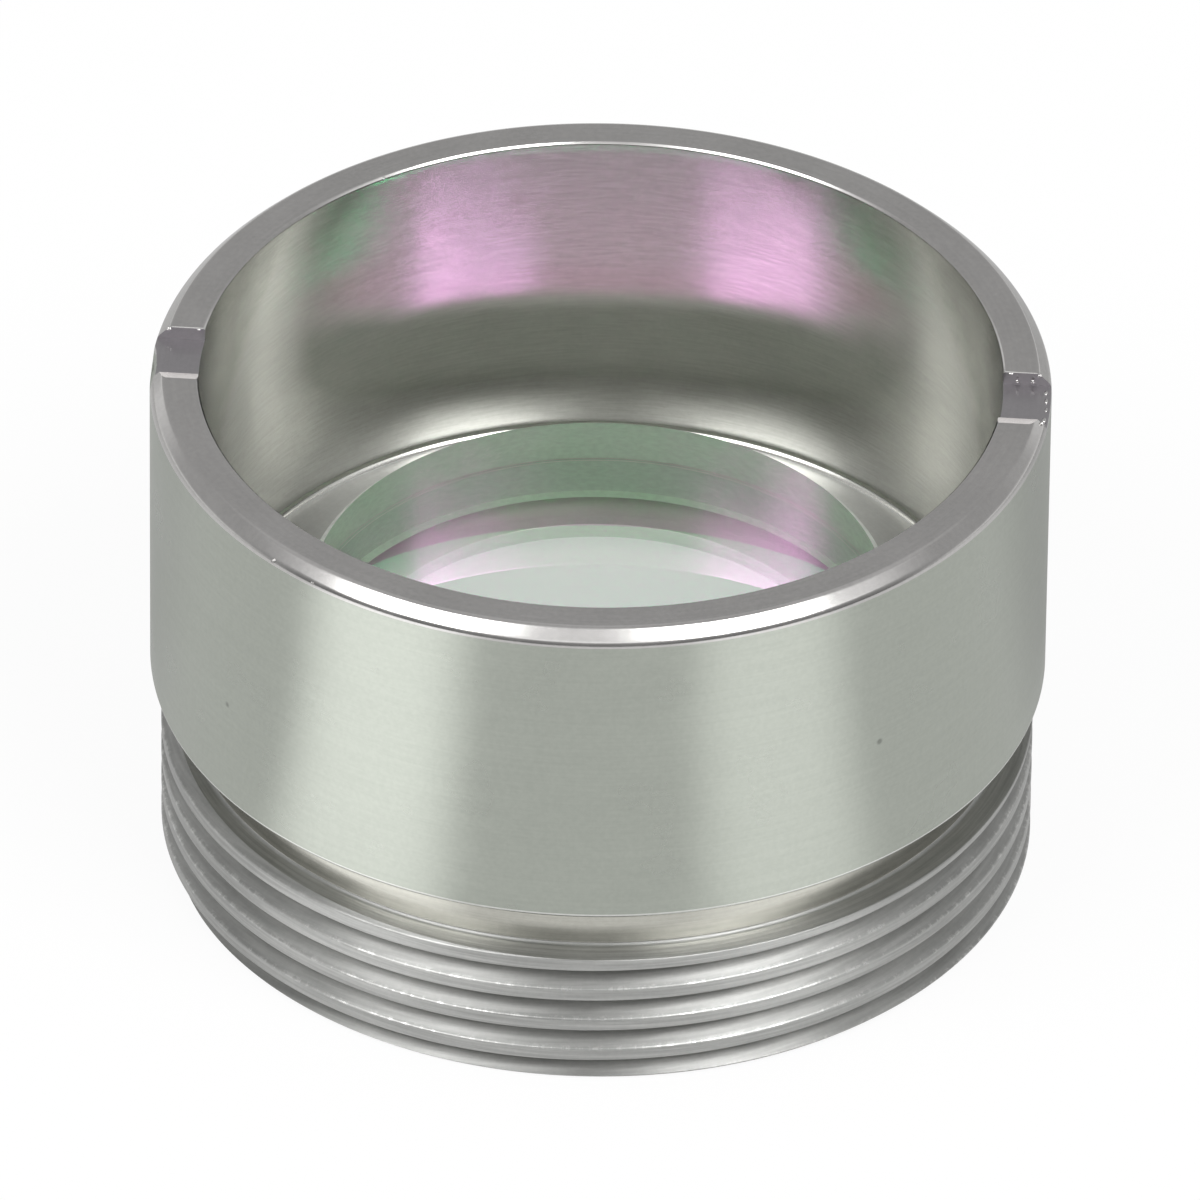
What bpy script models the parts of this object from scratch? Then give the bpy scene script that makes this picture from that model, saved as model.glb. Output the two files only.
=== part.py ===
"""Mounted achromatic doublet: a cemented lens pair bonded in a threaded steel cell.

The optical axis is +Z and passes through the origin, which is the centre of the
thread-end face. The spanner slots lie along X. All sizes are in metres.
"""

import math

import bmesh
import bpy
from mathutils import Matrix, Vector

MM = 0.001

# Threaded end of the cell
THREAD_DIAMETER = 11.94 * MM
THREAD_PITCH = 0.5 * MM
THREAD_LENGTH = 2.03 * MM
THREAD_END_CHAMFER = 0.10 * MM
THREAD_HALF_ANGLE = math.radians(30.0)
THREAD_CREST_FLAT = 0.18 * MM
THREAD_ROOT_FLAT = 0.03 * MM
GROOVE_HEIGHT_AT_X = 0.311 * MM

# Relief groove between the thread and the shoulder
RELIEF_LENGTH = 0.795 * MM
RELIEF_BELOW_ROOT = 0.114 * MM
RELIEF_CORNER_RADIUS = 0.06 * MM

# Barrel above the shoulder
SHOULDER_STEP = 0.15 * MM
BEARING_CLEARANCE = 0.02 * MM
SHOULDER_DISH = 0.02 * MM
BARREL_LENGTH = 4.73 * MM
BARREL_LOWER_EDGE = 0.06 * MM
RIM_OUTER_CHAMFER = 0.16 * MM
RIM_INNER_CHAMFER = 0.06 * MM
RIM_WALL = 0.66 * MM

# Bore behind the rim
BORE_DEPTH = 4.80 * MM
FLOOR_FILLET = 0.15 * MM

# Spanner slots across the rim
SLOT_WIDTH = 1.0 * MM
SLOT_DEPTH = 0.20 * MM

# Seat and clear aperture of the lens
SEAT_HEIGHT = 0.64 * MM
SEAT_WIDTH = 0.66 * MM
COUNTERSINK = 0.30 * MM
POCKET_EDGE_CHAMFER = 0.05 * MM

# Lens elements, from the thread end upwards
LENS_DIAMETER = 8.0 * MM
CROWN_THICKNESS = 2.3 * MM
FLINT_THICKNESS = 1.3 * MM
OUTER_CROWN_CURVE = 19.6 * MM
CEMENTED_CURVE = 17.3 * MM
OUTER_FLINT_CURVE = 122.0 * MM
LENS_BEVEL = 0.10 * MM

# Cement between the elements and adhesive round their edge
CEMENT_THICKNESS = 0.018 * MM
CEMENT_SETBACK = 0.05 * MM
BOND_THICKNESS = 0.06 * MM
BOND_END_SETBACK = 0.12 * MM

# Clearances that keep touching pieces apart
CEMENT_CLEARANCE = 0.004 * MM
BOND_CLEARANCE = 0.01 * MM
SEAT_CLEARANCE = 0.02 * MM

# Facets and shading
CELL_SEGMENTS = 72
LENS_SEGMENTS = 72
CURVE_RINGS = 5
FILLET_STEPS = 4
RELIEF_CORNER_STEPS = 2
SHARP_EDGE_ANGLE = math.radians(25.0)
AXIS_WELD = 1e-8

# How far a cutter stands out of the metal that it cuts
OVERCUT = 0.05 * MM

# Derived heights and radii of the cell
THREAD_RADIUS = THREAD_DIAMETER / 2
GROOVE_WIDTH = THREAD_PITCH - THREAD_CREST_FLAT
THREAD_DEPTH = (GROOVE_WIDTH - THREAD_ROOT_FLAT) / 2 / math.tan(THREAD_HALF_ANGLE)
RELIEF_RADIUS = THREAD_RADIUS - THREAD_DEPTH - RELIEF_BELOW_ROOT
BARREL_RADIUS = THREAD_RADIUS + SHOULDER_STEP
BEARING_INNER_RADIUS = THREAD_RADIUS + BEARING_CLEARANCE
SHOULDER_HEIGHT = THREAD_LENGTH + RELIEF_LENGTH
RIM_HEIGHT = SHOULDER_HEIGHT + BARREL_LENGTH
BORE_RADIUS = BARREL_RADIUS - RIM_WALL
FLOOR_HEIGHT = RIM_HEIGHT - BORE_DEPTH
LENS_RADIUS = LENS_DIAMETER / 2
POCKET_RADIUS = LENS_RADIUS + BOND_THICKNESS + 2 * BOND_CLEARANCE
APERTURE_RADIUS = LENS_RADIUS - SEAT_WIDTH


def sag(curve_radius, radius):
    """Depth of a spherical surface at a distance from its axis."""
    return curve_radius - math.sqrt(curve_radius ** 2 - radius ** 2)


# Derived heights of the lens stack; the crown's outer surface rests on the seat's edge
CROWN_BASE = SEAT_HEIGHT + SEAT_CLEARANCE - sag(OUTER_CROWN_CURVE, APERTURE_RADIUS)
CROWN_TOP = CROWN_BASE + CROWN_THICKNESS
CEMENT_BASE = CROWN_TOP + CEMENT_CLEARANCE
FLINT_BASE = CEMENT_BASE + CEMENT_THICKNESS + CEMENT_CLEARANCE
FLINT_TOP = FLINT_BASE + FLINT_THICKNESS


def clear_scene():
    for old in list(bpy.data.objects):
        bpy.data.objects.remove(old, do_unlink=True)


def surface_material(name, colour, roughness, metallic=0.0, transmission=0.0, ior=1.5):
    material = bpy.data.materials.new(name)
    material.use_nodes = True
    shader = material.node_tree.nodes["Principled BSDF"]
    shader.inputs["Base Color"].default_value = (*colour, 1.0)
    shader.inputs["Roughness"].default_value = roughness
    shader.inputs["Metallic"].default_value = metallic
    shader.inputs["Transmission Weight"].default_value = transmission
    shader.inputs["IOR"].default_value = ior
    return material


def add_object(name, bm, material=None):
    mesh = bpy.data.meshes.new(name)
    bm.to_mesh(mesh)
    bm.free()
    piece = bpy.data.objects.new(name, mesh)
    bpy.context.collection.objects.link(piece)
    if material:
        mesh.materials.append(material)
    mesh.shade_smooth()
    mesh.set_sharp_from_angle(angle=SHARP_EDGE_ANGLE)
    return piece


def turned_solid(name, profile, segments, material):
    """Spin a closed (radius, height) profile round the optical axis."""
    bm = bmesh.new()
    verts = [bm.verts.new((radius, 0.0, height)) for radius, height in profile]
    edges = [bm.edges.new(pair) for pair in zip(verts, verts[1:])]
    if profile[0][0] > 0.0:
        edges.append(bm.edges.new((verts[-1], verts[0])))
    bmesh.ops.spin(
        bm,
        geom=verts + edges,
        cent=(0.0, 0.0, 0.0),
        axis=(0.0, 0.0, 1.0),
        angle=math.tau,
        steps=segments,
        use_merge=True,
    )
    bmesh.ops.remove_doubles(bm, verts=bm.verts, dist=AXIS_WELD)
    bmesh.ops.recalc_face_normals(bm, faces=bm.faces)
    return add_object(name, bm, material)


def arc(centre, radius, start_deg, end_deg, steps):
    """Points of a round corner in the (radius, height) plane."""
    angles = [
        math.radians(start_deg + (end_deg - start_deg) * step / steps)
        for step in range(steps + 1)
    ]
    return [
        (centre[0] + radius * math.cos(angle), centre[1] + radius * math.sin(angle))
        for angle in angles
    ]


def curve_points(height, curve_radius, inner, outer, bulge):
    """Points of a spherical surface from one radius to another.

    bulge is 1 where the surface rises away from the axis and -1 where it falls.
    """
    radii = [inner + (outer - inner) * step / CURVE_RINGS for step in range(CURVE_RINGS + 1)]
    return [(radius, height + bulge * sag(curve_radius, radius)) for radius in radii]


def cell_profile():
    """Section of the cell, from the countersink round the outside and down the bore.

    The shoulder is dished inside its bearing ring, which starts just outside the thread,
    so that a flat mount seats on the ring alone.
    """
    relief_centre = RELIEF_RADIUS + RELIEF_CORNER_RADIUS
    relief_low = (relief_centre, THREAD_LENGTH + RELIEF_CORNER_RADIUS)
    relief_high = (relief_centre, SHOULDER_HEIGHT + SHOULDER_DISH - RELIEF_CORNER_RADIUS)
    floor_width = BORE_RADIUS - POCKET_RADIUS - POCKET_EDGE_CHAMFER
    fillet = min(FLOOR_FILLET, floor_width / 2)
    fillet_centre = (BORE_RADIUS - fillet, FLOOR_HEIGHT + fillet)
    thread_end = [
        (APERTURE_RADIUS + COUNTERSINK, 0.0),
        (THREAD_RADIUS - THREAD_END_CHAMFER, 0.0),
        (THREAD_RADIUS, THREAD_END_CHAMFER),
        (THREAD_RADIUS, THREAD_LENGTH),
    ]
    relief = arc(relief_low, RELIEF_CORNER_RADIUS, 270.0, 180.0, RELIEF_CORNER_STEPS)
    relief += arc(relief_high, RELIEF_CORNER_RADIUS, 180.0, 90.0, RELIEF_CORNER_STEPS)
    barrel = [
        (BEARING_INNER_RADIUS, SHOULDER_HEIGHT),
        (BARREL_RADIUS - BARREL_LOWER_EDGE, SHOULDER_HEIGHT),
        (BARREL_RADIUS, SHOULDER_HEIGHT + BARREL_LOWER_EDGE),
        (BARREL_RADIUS, RIM_HEIGHT - RIM_OUTER_CHAMFER),
        (BARREL_RADIUS - RIM_OUTER_CHAMFER, RIM_HEIGHT),
        (BORE_RADIUS + RIM_INNER_CHAMFER, RIM_HEIGHT),
        (BORE_RADIUS, RIM_HEIGHT - RIM_INNER_CHAMFER),
    ]
    floor = arc(fillet_centre, fillet, 0.0, -90.0, FILLET_STEPS)
    seat = [
        (POCKET_RADIUS + POCKET_EDGE_CHAMFER, FLOOR_HEIGHT),
        (POCKET_RADIUS, FLOOR_HEIGHT - POCKET_EDGE_CHAMFER),
        (POCKET_RADIUS, SEAT_HEIGHT),
        (APERTURE_RADIUS, SEAT_HEIGHT),
        (APERTURE_RADIUS, COUNTERSINK),
    ]
    return thread_end + relief + barrel + floor + seat


def thread_cutter():
    """Helical V groove that runs in at the thread end and out into the relief."""
    slope = math.tan(THREAD_HALF_ANGLE)
    half_root = THREAD_ROOT_FLAT / 2
    half_mouth = GROOVE_WIDTH / 2 + OVERCUT * slope
    root_radius = THREAD_RADIUS - THREAD_DEPTH
    mouth_radius = THREAD_RADIUS + OVERCUT
    first_turn = -math.ceil((half_mouth + OVERCUT + GROOVE_HEIGHT_AT_X) / THREAD_PITCH)
    start = GROOVE_HEIGHT_AT_X + first_turn * THREAD_PITCH
    finish = THREAD_LENGTH + half_mouth + OVERCUT
    steps = math.ceil((finish - start) / THREAD_PITCH * CELL_SEGMENTS)

    bm = bmesh.new()
    section = [
        (root_radius, start - half_root),
        (mouth_radius, start - half_mouth),
        (mouth_radius, start + half_mouth),
        (root_radius, start + half_root),
    ]
    verts = [bm.verts.new((radius, 0.0, height)) for radius, height in section]
    edges = [bm.edges.new(pair) for pair in zip(verts, verts[1:] + verts[:1])]
    swept = bmesh.ops.spin(
        bm,
        geom=verts + edges,
        cent=(0.0, 0.0, 0.0),
        axis=(0.0, 0.0, 1.0),
        dvec=Vector((0.0, 0.0, THREAD_PITCH / CELL_SEGMENTS)),
        angle=math.tau * steps / CELL_SEGMENTS,
        steps=steps,
    )
    last_edges = [item for item in swept["geom_last"] if isinstance(item, bmesh.types.BMEdge)]
    bmesh.ops.contextual_create(bm, geom=edges)
    bmesh.ops.contextual_create(bm, geom=last_edges)
    bmesh.ops.recalc_face_normals(bm, faces=bm.faces)
    return add_object("thread_cutter", bm)


def slot_cutter():
    """Bar that cuts both spanner slots in one pass across the rim."""
    bm = bmesh.new()
    bmesh.ops.create_cube(bm, size=1.0)
    size = Vector((2 * (BARREL_RADIUS + OVERCUT), SLOT_WIDTH, 2 * SLOT_DEPTH))
    bmesh.ops.transform(
        bm,
        matrix=Matrix.Translation((0.0, 0.0, RIM_HEIGHT)) @ Matrix.Diagonal((*size, 1.0)),
        verts=bm.verts,
    )
    return add_object("slot_cutter", bm)


def cut(piece, cutter):
    cutter.hide_render = True
    cutter.display_type = "WIRE"
    boolean = piece.modifiers.new(cutter.name, "BOOLEAN")
    boolean.operation = "DIFFERENCE"
    boolean.solver = "EXACT"
    boolean.object = cutter


def make_lens_cell(material):
    cell = turned_solid("lens_cell", cell_profile(), CELL_SEGMENTS, material)
    cut(cell, thread_cutter())
    cut(cell, slot_cutter())
    return cell


def make_crown_element(material):
    """Biconvex element; its outer curve faces the thread end."""
    lower = curve_points(CROWN_BASE, OUTER_CROWN_CURVE, 0.0, LENS_RADIUS - LENS_BEVEL, 1)
    upper = curve_points(CROWN_TOP, CEMENTED_CURVE, LENS_RADIUS, 0.0, -1)
    bevel = (LENS_RADIUS, lower[-1][1] + LENS_BEVEL)
    return turned_solid("crown_element", lower + [bevel] + upper, LENS_SEGMENTS, material)


def make_flint_element(material):
    """Meniscus element; its nearly flat outer curve faces the bore."""
    lower = curve_points(FLINT_BASE, CEMENTED_CURVE, 0.0, LENS_RADIUS, -1)
    upper = curve_points(FLINT_TOP, OUTER_FLINT_CURVE, LENS_RADIUS - LENS_BEVEL, 0.0, -1)
    bevel = (LENS_RADIUS, upper[0][1] - LENS_BEVEL)
    return turned_solid("flint_element", lower + [bevel] + upper, LENS_SEGMENTS, material)


def make_optical_cement(material):
    """Thin cured layer that fills the joint between the two elements."""
    edge = LENS_RADIUS - CEMENT_SETBACK
    lower = curve_points(CEMENT_BASE, CEMENTED_CURVE, 0.0, edge, -1)
    upper = curve_points(CEMENT_BASE + CEMENT_THICKNESS, CEMENTED_CURVE, edge, 0.0, -1)
    return turned_solid("optical_cement", lower + upper, LENS_SEGMENTS, material)


def make_edge_bond(material):
    """Sleeve of adhesive between the lens edge and the wall of its pocket."""
    inner = LENS_RADIUS + BOND_CLEARANCE
    outer = inner + BOND_THICKNESS
    low = SEAT_HEIGHT + BOND_END_SETBACK
    high = FLOOR_HEIGHT - BOND_END_SETBACK
    profile = [(inner, low), (outer, low), (outer, high), (inner, high)]
    return turned_solid("edge_bond", profile, LENS_SEGMENTS, material)


def main():
    clear_scene()
    steel = surface_material("turned_stainless_steel", (0.62, 0.63, 0.60), 0.30, metallic=1.0)
    crown = surface_material("crown_glass", (0.95, 0.98, 0.96), 0.02, transmission=1.0, ior=1.67)
    flint = surface_material("flint_glass", (0.97, 0.97, 0.93), 0.02, transmission=1.0, ior=1.80)
    cement = surface_material("optical_cement", (0.96, 0.96, 0.92), 0.05, transmission=1.0, ior=1.56)
    bond = surface_material("edge_adhesive", (0.80, 0.78, 0.66), 0.35)
    make_lens_cell(steel)
    make_crown_element(crown)
    make_flint_element(flint)
    make_optical_cement(cement)
    make_edge_bond(bond)


main()
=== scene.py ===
"""Looks of the mounted achromatic doublet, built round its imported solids.

The optical axis is +Z, the thread end stands at height zero and the spanner slots lie
along X. Lengths below are in millimetres and become metres where a mesh is made.
"""

import math
import random

import bmesh
import bpy
from mathutils import Matrix, Quaternion, Vector


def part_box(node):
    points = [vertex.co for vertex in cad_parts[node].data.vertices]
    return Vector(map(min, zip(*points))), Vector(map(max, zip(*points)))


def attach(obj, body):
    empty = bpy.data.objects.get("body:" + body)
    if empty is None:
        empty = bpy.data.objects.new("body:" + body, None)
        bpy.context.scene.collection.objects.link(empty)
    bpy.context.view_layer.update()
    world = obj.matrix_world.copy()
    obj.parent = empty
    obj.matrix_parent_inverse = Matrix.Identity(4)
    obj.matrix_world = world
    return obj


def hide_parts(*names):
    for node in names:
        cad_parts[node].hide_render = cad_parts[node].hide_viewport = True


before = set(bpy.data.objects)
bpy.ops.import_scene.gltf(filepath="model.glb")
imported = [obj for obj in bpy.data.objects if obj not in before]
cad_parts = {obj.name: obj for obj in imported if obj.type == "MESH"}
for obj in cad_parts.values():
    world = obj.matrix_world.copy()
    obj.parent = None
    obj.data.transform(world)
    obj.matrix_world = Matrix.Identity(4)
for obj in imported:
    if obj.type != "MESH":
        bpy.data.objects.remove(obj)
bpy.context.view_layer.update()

MM = 0.001


def node_top(node):
    """Greatest radius and height of a turned node, in millimetres."""
    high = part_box(node)[1]
    return high.x / MM, high.z / MM


def node_base(node):
    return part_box(node)[0].z / MM


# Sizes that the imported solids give
BARREL_RADIUS, RIM_HEIGHT = node_top("lens_cell")
LENS_RADIUS, LENS_TOP = node_top("flint_element")
CROWN_BASE = node_base("crown_element")
BOND_RADIUS, BOND_TOP = node_top("edge_bond")
BOND_BASE = node_base("edge_bond")

# Threaded end
THREAD_RADIUS = 5.97
THREAD_LENGTH = 2.03
THREAD_PITCH = 0.5
THREAD_DEPTH = 0.251
THREAD_END_CHAMFER = 0.10
THREAD_HALF_ANGLE = math.radians(30.0)
CREST_FLAT = 0.18
ROOT_FLAT = 0.03
GROOVE_HEIGHT_AT_X = 0.311
CREST_EDGE_BREAK = 0.016
RELIEF_RADIUS = 5.605
SHOULDER_HEIGHT = 2.825
SHOULDER_DISH = 0.02
BEARING_INNER_RADIUS = 5.99

# Barrel, rim and bore
BARREL_LOWER_EDGE = 0.06
RIM_OUTER_CHAMFER = 0.185
RIM_INNER_CHAMFER = 0.032
BORE_RADIUS = 5.46
FLOOR_HEIGHT = 2.755
POCKET_RADIUS = 4.08
SEAT_HEIGHT = 0.64
APERTURE_RADIUS = 3.34
COUNTERSINK = 0.30

# Spanner slots
SLOT_WIDTH = 1.0
SLOT_DEPTH = 0.20
NEAR_EDGE_WIDTH = 0.20
NEAR_EDGE_DROP = 0.056
FAR_EDGE_WIDTH = 0.01
FAR_EDGE_DROP = 0.01

# Lens pair
CEMENTED_CURVE = 17.3
OUTER_CROWN_CURVE = 19.6
OUTER_FLINT_CURVE = 122.0
CROWN_THICKNESS = 2.3
CEMENT_THICKNESS = 0.018
CEMENT_CLEARANCE = 0.004
CEMENT_SETBACK = 0.05
LENS_BEVEL = 0.10
BOND_CLEARANCE = 0.01

# Facets
CELL_SEGMENTS = 360
LENS_SEGMENTS = 256
CORNER_STEPS = 7
CURVE_RINGS = 24
HOLDING_LOOP = 0.02
SMOOTH_ANGLE = math.radians(14.0)
ROUGH_ANGLE = math.radians(50.0)
OVERCUT = 0.06
ON_AXIS = 1e-9

# Steps of the thread's broken crest edge, as shares of the break
BREAK_MIDDLE_DROP = 0.3
BREAK_MIDDLE_REACH = 0.7
BREAK_END_REACH = 1.5
BREAK_OUTER_REACH = 2.0

# Small damage
NICK_SEED = 11
BURR_SEED = 7
LUMP_TILT = 0.5
LUMP_LEAST = 0.86

# Camera, fitted to the photograph
CAMERA_AZIMUTH = math.radians(-85.76)
CAMERA_ELEVATION = math.radians(35.712)
CAMERA_DISTANCE = 325.1
CAMERA_TARGET_HEIGHT = 3.705
CAMERA_ROLL = math.radians(0.654)
FOCAL_LENGTH = 714.2
SENSOR_WIDTH = 36.0
SHIFT_X = 0.00144
SHIFT_Y = 0.00130
CLIP_START_METRES = 0.01
CLIP_END_METRES = 20.0


def direction(azimuth, elevation):
    """Unit vector at angles in radians; azimuth is measured from +X towards +Y."""
    flat = math.cos(elevation)
    return Vector((flat * math.cos(azimuth), flat * math.sin(azimuth), math.sin(elevation)))


# Meshes


def new_piece(name, bm, materials):
    mesh = bpy.data.meshes.new(name)
    bm.to_mesh(mesh)
    bm.free()
    piece = bpy.data.objects.new(name, mesh)
    bpy.context.scene.collection.objects.link(piece)
    for material in materials:
        mesh.materials.append(material)
    return piece


def smooth_piece(piece, angle=SMOOTH_ANGLE):
    piece.data.shade_smooth()
    piece.data.set_sharp_from_angle(angle=angle)


def rounded_profile(corners):
    """Points of a closed (radius, height) outline whose corners have a fillet radius."""
    points = []
    count = len(corners)
    for index, (x, y, radius) in enumerate(corners):
        here = Vector((x, y))
        if radius == 0.0:
            points.append(here)
            continue
        before = Vector(corners[index - 1][:2]) - here
        after = Vector(corners[(index + 1) % count][:2]) - here
        half = before.angle(after) / 2
        bisector = (before.normalized() + after.normalized()).normalized()
        centre = here + bisector * (radius / math.sin(half))
        reach = radius / math.tan(half)
        start = here + before.normalized() * reach - centre
        finish = here + after.normalized() * reach - centre
        turn = start.angle_signed(finish)
        for step in range(CORNER_STEPS + 1):
            spoke = start.copy()
            spoke.rotate(Matrix.Rotation(-turn * step / CORNER_STEPS, 2))
            points.append(centre + spoke)
    return points


def held(points):
    """Add a loop beside both ends of each long straight, so that it shades straight."""
    result = []
    for here, after in zip(points, points[1:] + points[:1]):
        result.append(here)
        straight = after - here
        if straight.length > 4 * HOLDING_LOOP:
            step = straight.normalized() * HOLDING_LOOP
            result += [here + step, after - step]
    return result


def turned(name, points, segments, materials):
    """Spin (radius, height) points round the optical axis into a closed solid."""
    bm = bmesh.new()
    rings = []
    for x, y in points:
        if x < ON_AXIS:
            rings.append([bm.verts.new((0.0, 0.0, y * MM))])
            continue
        ring = []
        for step in range(segments):
            angle = math.tau * step / segments
            ring.append(bm.verts.new((x * MM * math.cos(angle), x * MM * math.sin(angle), y * MM)))
        rings.append(ring)
    for ring, after in zip(rings, rings[1:] + rings[:1]):
        if len(ring) == 1 and len(after) == 1:
            continue
        for step in range(segments):
            follow = (step + 1) % segments
            corners = [ring[step % len(ring)], ring[follow % len(ring)]]
            corners += [after[follow % len(after)], after[step % len(after)]]
            bm.faces.new(list(dict.fromkeys(corners)))
    bmesh.ops.recalc_face_normals(bm, faces=bm.faces)
    return new_piece(name, bm, materials)


def cut(piece, cutters):
    """Subtract cutters exactly, keep the result as plain mesh and remove the cutters."""
    for cutter in cutters:
        boolean = piece.modifiers.new(cutter.name, "BOOLEAN")
        boolean.operation = "DIFFERENCE"
        boolean.solver = "EXACT"
        boolean.object = cutter
    bpy.context.view_layer.update()
    graph = bpy.context.evaluated_depsgraph_get()
    result = bpy.data.meshes.new_from_object(piece.evaluated_get(graph))
    piece.modifiers.clear()
    piece.data = result
    for cutter in cutters:
        bpy.data.objects.remove(cutter, do_unlink=True)


# Lens cell


def cell_corners():
    """(radius, height, fillet radius) of the section, from the countersink outwards."""
    thread_end = [
        (APERTURE_RADIUS + COUNTERSINK, 0.0, 0.02),
        (THREAD_RADIUS - THREAD_END_CHAMFER, 0.0, 0.02),
        (THREAD_RADIUS, THREAD_END_CHAMFER, 0.02),
        (THREAD_RADIUS, THREAD_LENGTH, CREST_EDGE_BREAK),
        (RELIEF_RADIUS, THREAD_LENGTH, 0.06),
        (RELIEF_RADIUS, SHOULDER_HEIGHT + SHOULDER_DISH, 0.06),
        (BEARING_INNER_RADIUS, SHOULDER_HEIGHT + SHOULDER_DISH, 0.0),
        (BEARING_INNER_RADIUS, SHOULDER_HEIGHT, 0.0),
    ]
    barrel = [
        (BARREL_RADIUS - BARREL_LOWER_EDGE, SHOULDER_HEIGHT, 0.02),
        (BARREL_RADIUS, SHOULDER_HEIGHT + BARREL_LOWER_EDGE, 0.06),
        (BARREL_RADIUS, RIM_HEIGHT - RIM_OUTER_CHAMFER, 0.16),
        (BARREL_RADIUS - RIM_OUTER_CHAMFER, RIM_HEIGHT, 0.10),
        (BORE_RADIUS + RIM_INNER_CHAMFER, RIM_HEIGHT, 0.02),
        (BORE_RADIUS, RIM_HEIGHT - RIM_INNER_CHAMFER, 0.02),
    ]
    bore = [
        (BORE_RADIUS, FLOOR_HEIGHT, 0.15),
        (POCKET_RADIUS + 0.05, FLOOR_HEIGHT, 0.015),
        (POCKET_RADIUS, FLOOR_HEIGHT - 0.05, 0.015),
        (POCKET_RADIUS, SEAT_HEIGHT, 0.03),
        (APERTURE_RADIUS, SEAT_HEIGHT, 0.01),
        (APERTURE_RADIUS, COUNTERSINK, 0.01),
    ]
    return thread_end + barrel + bore


def groove_section():
    """(radius, height) outline of the thread groove, with the crest edges broken."""
    slope = math.tan(THREAD_HALF_ANGLE)
    half_mouth = (THREAD_PITCH - CREST_FLAT) / 2
    half_root = ROOT_FLAT / 2
    break_radius = THREAD_RADIUS - CREST_EDGE_BREAK
    half_break = half_mouth - CREST_EDGE_BREAK * slope
    lower = [
        (THREAD_RADIUS - THREAD_DEPTH, -half_root),
        (break_radius, -half_break),
        (THREAD_RADIUS - CREST_EDGE_BREAK * BREAK_MIDDLE_DROP,
         -half_break - CREST_EDGE_BREAK * BREAK_MIDDLE_REACH),
        (THREAD_RADIUS, -half_break - CREST_EDGE_BREAK * BREAK_END_REACH),
        (THREAD_RADIUS + OVERCUT, -half_break - CREST_EDGE_BREAK * BREAK_OUTER_REACH - OVERCUT),
    ]
    return lower + [(x, -y) for x, y in reversed(lower)]


def thread_cutter():
    """Helical groove, run in at the thread end and out into the relief."""
    section = groove_section()
    half_mouth = max(y for x, y in section)
    turns_below = math.ceil((half_mouth + OVERCUT + GROOVE_HEIGHT_AT_X) / THREAD_PITCH)
    start = GROOVE_HEIGHT_AT_X - turns_below * THREAD_PITCH
    finish = THREAD_LENGTH + half_mouth + OVERCUT
    steps = math.ceil((finish - start) / THREAD_PITCH * CELL_SEGMENTS)
    bm = bmesh.new()
    rings = []
    for step in range(steps + 1):
        angle = math.tau * step / CELL_SEGMENTS
        rise = start + THREAD_PITCH * step / CELL_SEGMENTS
        rings.append([
            bm.verts.new((x * MM * math.cos(angle), x * MM * math.sin(angle), (y + rise) * MM))
            for x, y in section
        ])
    for ring, after in zip(rings, rings[1:]):
        for side in range(len(section)):
            follow = (side + 1) % len(section)
            bm.faces.new((ring[side], ring[follow], after[follow], after[side]))
    bm.faces.new(rings[0])
    bm.faces.new(rings[-1])
    bmesh.ops.recalc_face_normals(bm, faces=bm.faces)
    return new_piece("thread_cutter", bm, [])


def slot_side(edge_width, edge_drop):
    """(across, height) points from the slot's floor out over one long edge."""
    half = SLOT_WIDTH / 2
    return [
        (half, RIM_HEIGHT - SLOT_DEPTH),
        (half, RIM_HEIGHT - edge_drop),
        (half + edge_width, RIM_HEIGHT),
        (half + edge_width, RIM_HEIGHT + OVERCUT),
    ]


def slot_section():
    """Outline of both slots: the near long edge is bevelled wide, the far one just broken."""
    near = slot_side(NEAR_EDGE_WIDTH, NEAR_EDGE_DROP)
    far = slot_side(FAR_EDGE_WIDTH, FAR_EDGE_DROP)
    return [(-y, z) for y, z in reversed(near)] + far


def slot_cutter():
    reach = BARREL_RADIUS + OVERCUT
    bm = bmesh.new()
    section = slot_section()
    ends = []
    for x in (-reach, reach):
        ends.append([bm.verts.new((x * MM, y * MM, z * MM)) for y, z in section])
    for side in range(len(section)):
        follow = (side + 1) % len(section)
        bm.faces.new((ends[0][side], ends[0][follow], ends[1][follow], ends[1][side]))
    bm.faces.new(ends[0])
    bm.faces.new(ends[1])
    bmesh.ops.recalc_face_normals(bm, faces=bm.faces)
    return new_piece("slot_cutter", bm, [])


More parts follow.
